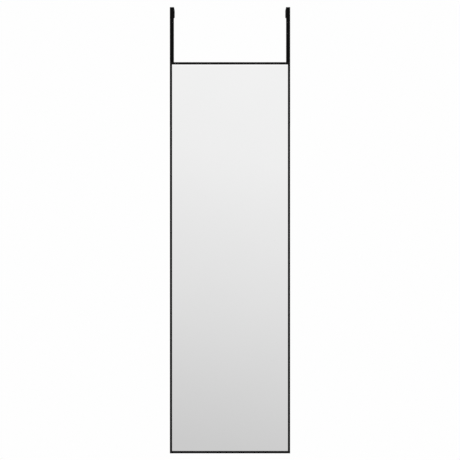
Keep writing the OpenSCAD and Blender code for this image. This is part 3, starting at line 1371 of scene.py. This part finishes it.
@dataclass
class MitredFrame:
    """Four bars, the keys that join them at the corners and the grub screws that lock the keys."""

    outline: Outline
    finishes: Finishes
    section: BarSection = field(default_factory=BarSection)
    key_arm: float = 32.0 * MM
    key_play: float = 0.1 * MM
    key_relief: float = 0.2 * MM
    key_chamfer: float = 1.0 * MM
    key_ease: float = 0.2 * MM
    grub_inset: float = 8.0 * MM
    grub_len: float = 3.0 * MM
    grub_socket: float = 1.5 * MM
    grub_ease: float = 0.06 * MM

    @property
    def key_start(self) -> float:
        """How far inside the frame's outer face a key lies."""
        return self.section.wall_t + self.key_play

    @property
    def tapped_at(self) -> tuple[tuple[str, float, float], ...]:
        """The places of a key's two tapped holes.

        Returns:
            For each hole, the arm that has it and its x and z.
        """
        middle = self.section.wall_t + self.section.channel_w / 2
        tapped = self.key_start + self.key_arm - self.grub_inset
        return ("level", tapped, middle), ("upright", middle, tapped)

    def _bar(self, name: str, length: float) -> Workpiece:
        """One bar, drawn with x inwards, y back and z along, both ends mitred.

        Args:
            name: The piece's name.
            length: The bar's length over its points.

        Returns:
            The bar at the origin.
        """
        s = self.section
        bar = Workpiece.block(name, ORIGIN, Vector((s.wall_t, s.depth, length)))
        for depth in (s.lip_t, s.shelf_at, s.channel_at, s.rear_lip_at):
            bar.slice(BACK, depth)
        bar.faces(lambda c, n: n.x > SQUARE_ON and c.y < s.lip_t).pull(RIGHT * (s.lip_w - s.wall_t))
        bar.faces(lambda c, n: n.x > SQUARE_ON and s.shelf_at < c.y < s.channel_at)
        bar.pull(RIGHT * s.channel_w).pull(RIGHT * s.inner_wall_t)
        inner_wall = s.wall_t + s.channel_w
        bar.faces(lambda c, n: n.y > SQUARE_ON and near(c.y, s.channel_at) and c.x > inner_wall)
        bar.pull(BACK * (s.rear_lip_at - s.channel_at)).pull(BACK * (s.depth - s.rear_lip_at))
        bar.faces(lambda c, n: n.x > SQUARE_ON and near(c.x, s.wall_t) and c.y > s.rear_lip_at)
        bar.pull(RIGHT * s.rear_lip_w)
        bar.faces(lambda c, n: n.x < -SQUARE_ON and c.x > s.slot_w and c.y > s.rear_lip_at)
        bar.pull(RIGHT * -s.rear_lip_w)
        for x, y in ((0.0, 0.0), (0.0, s.depth), (s.rear_w, s.depth)):
            bar.edges(lambda a, b, x=x, y=y: lie_at(RIGHT, x, a, b) and lie_at(BACK, y, a, b))
            bar.bevel(s.outer_r, s.outer_steps)
        bar.trim(ORIGIN, RIGHT - UP)
        bar.trim(UP * length, RIGHT + UP)
        return bar.close().ease(s.ease)

    def _key(self) -> Workpiece:
        """A corner key, drawn with x and z inwards from the frame's corner.

        Returns:
            The key.
        """
        s = self.section
        start = self.key_start
        reach = start + self.key_arm
        width = s.channel_w - 2 * self.key_play
        front = s.channel_at + self.key_relief
        low = Vector((start, front, start))
        key = Workpiece.block("corner_key", low, Vector((reach, s.rear_lip_at, start + width)))
        key.slice(RIGHT, start + width)
        key.faces(lambda c, n: n.z > SQUARE_ON and c.x < start + width)
        key.pull(UP * (self.key_arm - width))
        key.edges(
            lambda a, b: near(a.x, b.x)
            and near(a.z, b.z)
            and (near(a.x, reach) or near(a.z, reach) or near(a.x + a.z, 2 * start))
        ).bevel(self.key_chamfer, 1)
        key.close()
        for _, x, z in self.tapped_at:
            key.drill(Vector((x, front, z)), s.rear_lip_at - front, Thread.tapped)
        return key.ease(self.key_ease)

    def _grub_screw(self) -> Workpiece:
        """A grub screw that runs back from the origin, with its socket at its rear end.

        Returns:
            The screw.
        """
        screw = Thread(self.grub_len).rod("grub_screw", self.grub_len).close()
        return screw.socket(self.grub_len, self.grub_socket, self.grub_len / 2).ease(self.grub_ease, 1)

    def _bars(self) -> None:
        """Builds the stiles and the rails."""
        o = self.outline
        stile = self._bar("stile_bar", o.top - o.bottom).dress(self.finishes.upright_black)
        for side in Side:
            bar = stile.copy(f"{side.word}_stile_bar")
            bar.put(placed(o.corner(side, Level.BOTTOM), side.inward, UP))
            bar.hand_over(Body.MIRROR, f"{side.word}_stile", Slot.FRAME)
        rail = self._bar("rail_bar", 2 * o.half_w).dress(self.finishes.level_black)
        for level in Level:
            bar = rail.copy(f"{level.word}_rail_bar")
            bar.put(placed(o.corner(Side.LEFT, level), level.inward, RIGHT))
            bar.hand_over(Body.MIRROR, f"{level.word}_rail", Slot.FRAME)
        stile.discard()
        rail.discard()

    def _joints(self) -> None:
        """Builds the corner keys and their grub screws."""
        key = self._key().dress(self.finishes.zinc)
        screw = self._grub_screw().dress(self.finishes.black_oxide)
        for level in Level:
            for side in Side:
                corner = f"{level.word}_{side.word}"
                place = placed(self.outline.corner(side, level), side.inward, level.inward)
                one = key.copy(f"key_{corner}").put(place)
                one.hand_over(Body.MIRROR, f"{corner}_corner_key", Slot.ZINC)
                for arm, x, z in self.tapped_at:
                    seat = Matrix.Translation(Vector((x, self.section.channel_at, z)))
                    grub = screw.copy(f"grub_screw_{corner}_{arm}").put(place @ seat)
                    grub.hand_over(Body.MIRROR, "corner_grub_screws", Slot.SCREW)
        key.discard()
        screw.discard()

    def build(self) -> None:
        """Builds the frame."""
        self._bars()
        self._joints()


@dataclass(frozen=True)
class Thread:
    """A thread of 3 mm, cut as rings from the front end of a rod. Its sizes are radii and the pitch."""

    length: float
    pitch: float = 0.5 * MM
    crest: float = 1.5 * MM
    root: float = 1.24 * MM
    tapped: float = 1.55 * MM
    sides: int = 40

    def rod(self, name: str, length: float) -> Workpiece:
        """Makes a threaded rod that runs back from the origin.

        Args:
            name: The piece's name.
            length: The rod's length.

        Returns:
            The rod, open for editing.
        """
        rod = Workpiece.rod(name, ORIGIN, length, self.crest, self.sides)
        rings = int(self.length / self.pitch)
        half = self.pitch / 2
        for step in range(1, 2 * rings):
            rod.slice(BACK, step * half)
        for ring in range(rings):
            depth = (2 * ring + 1) * half
            rod.corners(lambda p, depth=depth: lie_at(BACK, depth, p))
            rod.widen(self.root / self.crest, BACK * depth)
        return rod


@dataclass
class Pane:
    """The mirror pane and the foam tape between it and the lips."""

    finishes: Finishes
    bevel: float = 0.5 * MM
    rear_bevel: float = 0.25 * MM
    rear_steps: int = 2
    glass_ease: float = 0.05 * MM
    tape_round: float = 0.3 * MM
    tape_steps: int = 4
    tape_ease: float = 0.08 * MM

    def _glass(self) -> None:
        """Builds the pane: silver in front, ground edges and sealing paint behind."""
        low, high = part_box("mirror_pane")
        pane = Workpiece.block("silvered_pane", low, high)
        pane.rim(low.y).bevel(self.bevel, 1)
        pane.rim(high.y).bevel(self.rear_bevel, self.rear_steps)
        pane.close().ease(self.glass_ease, 1)
        pane.dress(self.finishes.ground_edge, self.finishes.silver, self.finishes.sealing_paint)
        # their numbers in that list
        silver, paint = 1, 2
        for face in pane.thing.data.polygons:
            if abs(face.normal.y) > SQUARE_ON:
                face.material_index = silver if face.normal.y < 0 else paint
        pane.hand_over(Body.MIRROR, "mirror_pane", Slot.GLASS, flat=True)

    def _tapes(self, run: Run, *nodes: str) -> None:
        """Builds the lengths of foam tape that run one way, their long sides bulged by the squeeze.

        Args:
            run: The way that they run.
            *nodes: The nodes that they stand for, which are of one size.
        """
        low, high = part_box(nodes[0])
        middle = front_middle(nodes[0])
        tape = Workpiece.block("foam_tape", low - middle, high - middle)
        along = run.value
        tape.edges(lambda a, b: near(abs(a[along] - b[along]), high[along] - low[along]))
        tape.bevel(self.tape_round, self.tape_steps)
        tape.close().ease(self.tape_ease).dress(self.finishes.tape)
        for node in nodes:
            strip = tape.copy(f"{node}_strip").put(Matrix.Translation(front_middle(node)))
            strip.hand_over(Body.MIRROR, node, Slot.TAPE)
        tape.discard()

    def build(self) -> None:
        """Builds the pane and its tapes."""
        self._glass()
        self._tapes(Run.UPRIGHT, *(f"{side.word}_foam_tape" for side in Side))
        self._tapes(Run.LEVEL, *(f"{level.word}_foam_tape" for level in Level))


@dataclass
class Backing:
    """The back panel and the bowed spring clips that press it forward."""

    outline: Outline
    finishes: Finishes
    section: BarSection = field(default_factory=BarSection)
    panel_round: float = 0.3 * MM
    panel_steps: int = 3
    panel_ease: float = 0.12 * MM
    clip_len: float = 46.0 * MM
    clip_w: float = 11.0 * MM
    clip_t: float = 0.5 * MM
    clip_out: float = 2.1 * MM
    clip_space: float = 1.6 * MM
    clip_ease: float = 0.1 * MM
    clip_steps: int = 22
    touch: float = 0.05 * MM
    per_stile: int = 3

    @property
    def bow(self) -> float:
        """Inner radius of a clip's bow."""
        rise = self.clip_space - self.clip_t - 2 * self.touch
        return ((self.clip_len / 2) ** 2 + rise**2) / (2 * rise)

    def _panel(self) -> None:
        """Builds the back panel, its sawn edges a little broken."""
        low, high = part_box("back_panel")
        panel = Workpiece.block("fibreboard_panel", low, high)
        panel.rim(high.y).bevel(self.panel_round, self.panel_steps)
        panel.close().ease(self.panel_ease).dress(self.finishes.board)
        panel.hand_over(Body.MIRROR, "back_panel", Slot.BOARD)

    def _clip(self) -> Workpiece:
        """A clip, drawn with x inwards from the bar's outer face, y back and z along about its middle.

        Returns:
            The clip.
        """
        outer = self.bow + self.clip_t
        axis_y = self.section.shelf_at - self.touch - outer
        half = math.asin(self.clip_len / 2 / outer)
        radius = self.bow + self.clip_t / 2
        across = self.clip_out + self.clip_w / 2
        start = Vector((across, axis_y + radius * math.cos(half), -radius * math.sin(half)))
        clip = Workpiece.section("spring_clip", start, (self.clip_w, self.clip_t), -half)
        clip.spin(BACK * axis_y, 2 * half, self.clip_steps)
        return clip.close().ease(self.clip_ease)

    def _clips(self) -> None:
        """Builds the clips along the stiles and the rails."""
        o = self.outline
        gap = (o.top - o.bottom) / (self.per_stile + 1)
        clip = self._clip()
        for side in Side:
            for place in range(1, self.per_stile + 1):
                one = clip.copy(f"spring_clip_{side.word}_{place}")
                one.put(placed(o.on_side(side, o.bottom + gap * place), side.inward, UP))
                one.dress(self.finishes.upright_spring)
                one.hand_over(Body.MIRROR, "side_spring_clips", Slot.SPRING)
        for level in Level:
            one = clip.copy(f"spring_clip_{level.word}")
            one.put(placed(Vector((0, o.front, o.end(level))), level.inward, RIGHT))
            one.dress(self.finishes.level_spring)
            one.hand_over(Body.MIRROR, "end_spring_clips", Slot.SPRING)
        clip.discard()

    def build(self) -> None:
        """Builds the panel and the clips."""
        self._panel()
        self._clips()


@dataclass
class Hangers:
    """The two hangers: bent strips with a slot each, and the foam liners in their hooks."""

    finishes: Finishes
    strip_t: float = 1.5 * MM
    strip_ease: float = 0.2 * MM
    bend_r: float = 1.5 * MM
    bend_steps: int = 10
    end_r: float = 2.0 * MM
    end_steps: int = 8
    slot_w: float = 3.4 * MM
    slot_start: float = 40.0 * MM
    slot_foot: float = 11.0 * MM
    slot_steps: int = 12
    fold_steps: int = 8
    liner_ease: float = 0.25 * MM
    ease_steps: int = 3

    def _slot(self, low: Vector, high: Vector) -> Workpiece:
        """The cutter for the slot in the strip's tail.

        Args:
            low: The strip's lowest corner.
            high: Its highest corner.

        Returns:
            The closed cutter.
        """
        left = (low.x + high.x - self.slot_w) / 2
        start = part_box("top_rail")[1].z - self.slot_start
        slot = Workpiece.block(
            "slot",
            Vector((left, low.y - self.strip_t, low.z + self.slot_foot)),
            Vector((left + self.slot_w, low.y + 2 * self.strip_t, start)),
        )
        slot.edges(lambda a, b: not near(a.y, b.y)).bevel(self.slot_w / 2 - NOTHING, self.slot_steps)
        return slot.close()

    def _strip(self) -> Workpiece:
        """The left strip: a straight tail, two bends with the bridge between them, and the leg.

        Returns:
            The strip, in its place.
        """
        low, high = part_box("left_hanger")
        outer_r = self.bend_r + self.strip_t
        level = high.z - outer_r
        strip = Workpiece.block("hanger_strip", low, Vector((high.x, low.y + self.strip_t, level)))
        strip.faces(lambda c, n: n.z > SQUARE_ON)
        strip.spin(Vector((0, low.y + outer_r, level)), -QUARTER_TURN, self.bend_steps)
        strip.pull(BACK * (high.y - low.y - 2 * outer_r))
        strip.spin(Vector((0, high.y - outer_r, level)), -QUARTER_TURN, self.bend_steps)
        leg_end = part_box("left_hook_liner")[0].z - self.strip_t
        strip.pull(UP * (leg_end - level))
        for end in (low.z, leg_end):
            strip.edges(lambda a, b, end=end: lie_at(UP, end, a, b) and near(a.x, b.x))
            strip.bevel(self.end_r, self.end_steps)
        return strip.close().cut(self._slot(low, high)).ease(self.strip_ease, self.ease_steps)

    def _liner(self) -> Workpiece:
        """The left liner: one length of foam sheet folded into the hook.

        Returns:
            The liner, in its place.
        """
        low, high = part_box("left_hook_liner")
        sheet_t = high.z
        liner = Workpiece.block("liner_foam", low, Vector((high.x, low.y + sheet_t, 0)))
        liner.faces(lambda c, n: n.z > SQUARE_ON).pull(UP * sheet_t)
        liner.faces(lambda c, n: n.y > SQUARE_ON and c.z > 0)
        liner.pull(BACK * (high.y - low.y - 2 * sheet_t)).pull(BACK * sheet_t)
        liner.faces(lambda c, n: n.z < -SQUARE_ON and c.y > high.y - sheet_t).pull(UP * low.z)
        liner.edges(
            lambda a, b: lie_at(UP, high.z, a, b)
            and (lie_at(BACK, low.y, a, b) or lie_at(BACK, high.y, a, b))
        ).bevel(self.bend_r, self.fold_steps)
        return liner.close().ease(self.liner_ease, self.ease_steps)

    def build(self) -> None:
        """Builds the hangers."""
        strip = self._strip().dress(self.finishes.powder)
        liner = self._liner().dress(self.finishes.liner)
        for side in Side:
            node = f"{side.word}_hanger"
            across = Matrix.Translation(front_middle(node) - front_middle("left_hanger"))
            strip.copy(f"{node}_strip").put(across).hand_over(Body.hook(side), node, Slot.HANGER)
            node = f"{side.word}_hook_liner"
            foam = liner.copy(f"{node}_foam").put(across)
            foam.hand_over(Body.hook(side), node, Slot.LINER)
        strip.discard()
        liner.discard()


@dataclass
class Clamps:
    """What holds each hanger to its stile: two screws behind the strip and two nuts in the channel."""

    finishes: Finishes
    head_r: float = 3.3 * MM
    head_t: float = 1.2 * MM
    head_round: float = 0.54 * MM
    head_steps: int = 5
    shank: float = 5.0 * MM
    socket: float = 2.0 * MM
    socket_depth: float = 0.72 * MM
    screw_ease: float = 0.07 * MM
    nut_w: float = 5.5 * MM
    nut_t: float = 1.8 * MM
    nut_round: float = 0.5 * MM
    nut_steps: int = 3
    nut_ease: float = 0.15 * MM
    pitch: float = 50.0 * MM

    def _screw(self) -> Workpiece:
        """A screw whose shank runs back from the origin to its low round head.

        Returns:
            The screw.
        """
        screw = Thread(self.shank - Thread.pitch).rod("clamp_screw", self.shank)
        screw.faces(lambda c, n: n.y > SQUARE_ON and near(c.y, self.shank))
        screw.pull(BACK * SAME).widen(self.head_r / Thread.crest, BACK * self.shank)
        screw.pull(BACK * (self.head_t - SAME))
        rear = self.shank + self.head_t
        screw.rim(rear).bevel(self.head_round, self.head_steps).close()
        return screw.socket(rear, self.socket, self.socket_depth).ease(self.screw_ease)

    def _nut(self) -> Workpiece:
        """A square nut about the origin, whose front face looks forward.

        Returns:
            The nut.
        """
        half = self.nut_w / 2
        nut = Workpiece.block("channel_nut", Vector((-half, 0, -half)), Vector((half, self.nut_t, half)))
        nut.edges(lambda a, b: not near(a.y, b.y)).bevel(self.nut_round, self.nut_steps)
        return nut.close().drill(ORIGIN, self.nut_t, Thread.tapped).ease(self.nut_ease)

    def _pair(self, side: Side, model: Workpiece, word: str, slot: Slot) -> None:
        """Sets two copies of a piece along a stile, one below the middle of their node and one above.

        Args:
            side: The stile's side.
            model: The dressed piece.
            word: What one copy is called.
            slot: The record's material slot.
        """
        node = f"{side.word}_{word}s"
        half = UP * self.pitch / 2
        for end, move in (("lower", -half), ("upper", half)):
            piece = model.copy(f"{word}_{side.word}_{end}")
            piece.put(Matrix.Translation(front_middle(node) + move))
            piece.hand_over(Body.MIRROR, node, slot)

    def build(self) -> None:
        """Builds the screws and the nuts."""
        screw = self._screw().dress(self.finishes.black_oxide)
        nut = self._nut().dress(self.finishes.zinc)
        for side in Side:
            self._pair(side, screw, "clamp_screw", Slot.SCREW)
            self._pair(side, nut, "channel_nut", Slot.ZINC)
        screw.discard()
        nut.discard()


@dataclass
class Bumpers:
    """The two rubber bumpers that keep the mirror parallel to the door."""

    finishes: Finishes
    sides: int = 64
    rim: float = 1.2 * MM
    rim_steps: int = 7
    skirt_h: float = 0.35 * MM
    skirt_in: float = 0.15 * MM
    dish: float = 0.12 * MM
    dish_in: float = 0.7 * MM
    dish_wall: float = 0.3 * MM
    ease: float = 0.05 * MM

    def _pad(self) -> Workpiece:
        """A bumper with its adhesive foot at the origin, a round side and a shallow dish in its face.

        Returns:
            The bumper.
        """
        low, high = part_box("left_bumper")
        radius, height = (high.x - low.x) / 2, high.y - low.y
        pad = Workpiece.rod("bumper_pad", ORIGIN, height, radius, self.sides)
        pad.slice(BACK, self.skirt_h)
        pad.rim(0.0).widen((radius - self.skirt_in) / radius, ORIGIN)
        pad.rim(height).bevel(self.rim, self.rim_steps)
        pad.faces(lambda c, n: n.y > SQUARE_ON and near(c.y, height))
        pad.inset(self.dish_in).inset(self.dish_wall, -self.dish)
        return pad.close().ease(self.ease, 1)

    def build(self) -> None:
        """Builds both bumpers."""
        pad = self._pad().dress(self.finishes.rubber)
        for side in Side:
            node = f"{side.word}_bumper"
            bumper = pad.copy(f"{node}_pad").put(Matrix.Translation(front_middle(node)))
            bumper.hand_over(Body.MIRROR, node, Slot.BUMPER)
        pad.discard()


# ---- the studio ----


@dataclass(frozen=True)
class Lamp:
    """A square soft lamp: its place, the length of its side and its power in watts."""

    name: str
    place: tuple[float, float, float]
    size: float
    power: float

    def hang(self, aim: Vector) -> None:
        """Hangs the lamp, facing a point.

        Args:
            aim: The point.
        """
        data = bpy.data.lights.new(self.name, "AREA")
        data.shape = "SQUARE"
        data.size = self.size
        data.energy = self.power
        lamp = bpy.data.objects.new(self.name, data)
        lamp.location = self.place
        lamp.rotation_euler = (aim - Vector(self.place)).to_track_quat("-Z", "Y").to_euler()
        lamp.visible_camera = False
        bpy.context.scene.collection.objects.link(lamp)


@dataclass
class Studio:
    """The pale floor, the soft light and the camera."""

    outline: Outline
    floor_z: float = -2.0
    floor_radius: float = 3.9
    floor_sides: int = 128
    # how far from its middle the floor starts to fade, and where it has faded
    floor_clear: float = 2.3
    floor_faded: float = 3.8
    floor_colour: Colour = (0.86, 0.86, 0.86)
    floor_roughness: float = 0.8
    floor_gloss: float = 0.1
    # where the camera stands: its height, its gap to the frame, and the slope of half its view
    camera_z: float = -569.95 * MM
    camera_gap: float = 2.9
    half_view: float = 0.20268
    sensor: float = 36.0
    white: float = 0.991
    fill: float = 0.62
    # how much the backdrop's tones lean to one side, and how far from straight ahead they go on leaning
    side_tilt: float = 0.22
    side_reach: float = 0.08
    # what the mirror shows: brightness by the height of a direction above the horizon
    backdrop: tuple[tuple[float, float], ...] = (
        (-0.5, 0.52),
        (-0.19, 0.636),
        (-0.066, 0.79),
        (0.066, 0.912),
        (0.143, 0.937),
    )
    ceiling_at: float = 0.1433
    ceiling: float = 1.04
    lamps: tuple[Lamp, ...] = (
        Lamp("front_left_lamp", (-2.1, -2.6, 1.5), 1.6, 34.0),
        Lamp("front_right_lamp", (2.4, -2.0, 1.2), 1.4, 18.0),
        Lamp("rear_lamp", (-1.2, 2.8, 1.4), 1.6, 30.0),
        Lamp("top_lamp", (0.4, -0.3, 2.0), 1.8, 24.0),
    )

    def _camera(self) -> None:
        """Sets the camera square to the frame, level with the middle of the picture."""
        data = bpy.data.cameras.new("camera")
        data.sensor_width = self.sensor
        data.lens = self.sensor / 2 / self.half_view
        camera = bpy.data.objects.new("camera", data)
        camera.location = (0.0, self.outline.front - self.camera_gap, self.camera_z)
        camera.rotation_euler = (QUARTER_TURN, 0.0, 0.0)
        bpy.context.scene.collection.objects.link(camera)
        bpy.context.scene.camera = camera

    def _backdrop_tone(self, wires: Wiring) -> Socket:
        """The tone that polished faces see, by direction.

        Args:
            wires: The world's wiring.

        Returns:
            The socket with the tone.
        """
        way = wires.add("TexCoord").outputs["Generated"]
        split = wires.add("SeparateXYZ", {"Vector": way})
        reach = self.side_reach
        lean = self.side_tilt * reach
        leaning = wires.span(split.outputs["X"], (-reach, reach), (-lean, lean))
        height = wires.math("ADD", split.outputs["Z"], leaning)
        low, high = self.backdrop[0][0], self.backdrop[-1][0]
        ramp = wires.add("ValToRGB", {"Fac": wires.span(height, (low, high))})
        stops = ramp.color_ramp.elements
        inner = [stops.new((place - low) / (high - low)) for place, _ in self.backdrop[1:-1]]
        for stop, (_, tone) in zip((stops[0], *inner, stops[-1]), self.backdrop):
            stop.color = (tone, tone, tone, 1.0)
        above = wires.math("GREATER_THAN", split.outputs["Z"], self.ceiling_at)
        return wires.mix(above, ramp.outputs["Color"], (self.ceiling,) * 3)

    def _world(self) -> None:
        """Lights from all round: white to the camera, a soft backdrop to polished faces."""
        world = bpy.data.worlds.new("studio")
        world.use_nodes = True
        bpy.context.scene.world = world
        wires = Wiring(world.node_tree)
        world.node_tree.nodes.clear()
        rays = wires.add("LightPath").outputs
        seen = wires.math("MAXIMUM", rays["Is Glossy Ray"], rays["Is Transmission Ray"])
        colours = ((self.fill,) * 3, self._backdrop_tone(wires), (self.white,) * 3)
        soft, shown, plain = (wires.add("Background", {"Color": one}).outputs[0] for one in colours)
        lit = wires.add("MixShader", {0: seen, 1: soft, 2: shown}).outputs[0]
        whole = wires.add("MixShader", {0: rays["Is Camera Ray"], 1: lit, 2: plain}).outputs[0]
        wires.add("OutputWorld", {"Surface": whole})

    def _floor_material(self) -> bpy.types.Material:
        """Makes the floor's material, which fades out before the floor's rim.

        Returns:
            The material.
        """
        material = bpy.data.materials.new("pale_floor")
        material.use_nodes = True
        wires = Wiring(material.node_tree)
        surface = material.node_tree.nodes["Principled BSDF"]
        wires.give(surface.inputs["Base Color"], self.floor_colour)
        wires.give(surface.inputs["Roughness"], self.floor_roughness)
        wires.give(surface.inputs["Specular IOR Level"], self.floor_gloss)
        place = wires.add("TexCoord").outputs["Object"]
        flat = wires.vector("MULTIPLY", {0: place, 1: RIGHT + BACK})
        reach = wires.add("VectorMath", {0: flat}, operation="LENGTH").outputs["Value"]
        fade = wires.span(reach, (self.floor_clear, self.floor_faded))
        clear = wires.add("BsdfTransparent").outputs[0]
        both = wires.add("MixShader", {0: fade, 1: surface.outputs[0], 2: clear}).outputs[0]
        wires.give(wires.tree.nodes["Material Output"].inputs["Surface"], both)
        return material

    def _floor(self) -> None:
        """Lays the round pale floor."""
        Workpiece.clear_bench()
        bpy.ops.mesh.primitive_circle_add(
            vertices=self.floor_sides,
            radius=self.floor_radius,
            fill_type="NGON",
            location=UP * self.floor_z,
        )
        floor = bpy.context.active_object
        floor.name = "floor"
        bpy.ops.object.transform_apply(location=True)
        floor.data.materials.append(self._floor_material())

    def build(self) -> None:
        """Sets up the whole studio."""
        self._camera()
        self._world()
        self._floor()
        for lamp in self.lamps:
            lamp.hang((CAD_BOX[0] + CAD_BOX[1]) / 2)
        bpy.context.scene.view_settings.view_transform = "Standard"


def main() -> None:
    """Builds the studio and the mirror, piece by piece."""
    logging.basicConfig(level=logging.INFO, format="%(name)s: %(message)s")
    outline = Outline.read()
    Studio(outline).build()
    finishes = Finishes()
    MitredFrame(outline, finishes).build()
    Pane(finishes).build()
    Backing(outline, finishes).build()
    Hangers(finishes).build()
    Clamps(finishes).build()
    Bumpers(finishes).build()


if __name__ == "__main__":
    main()
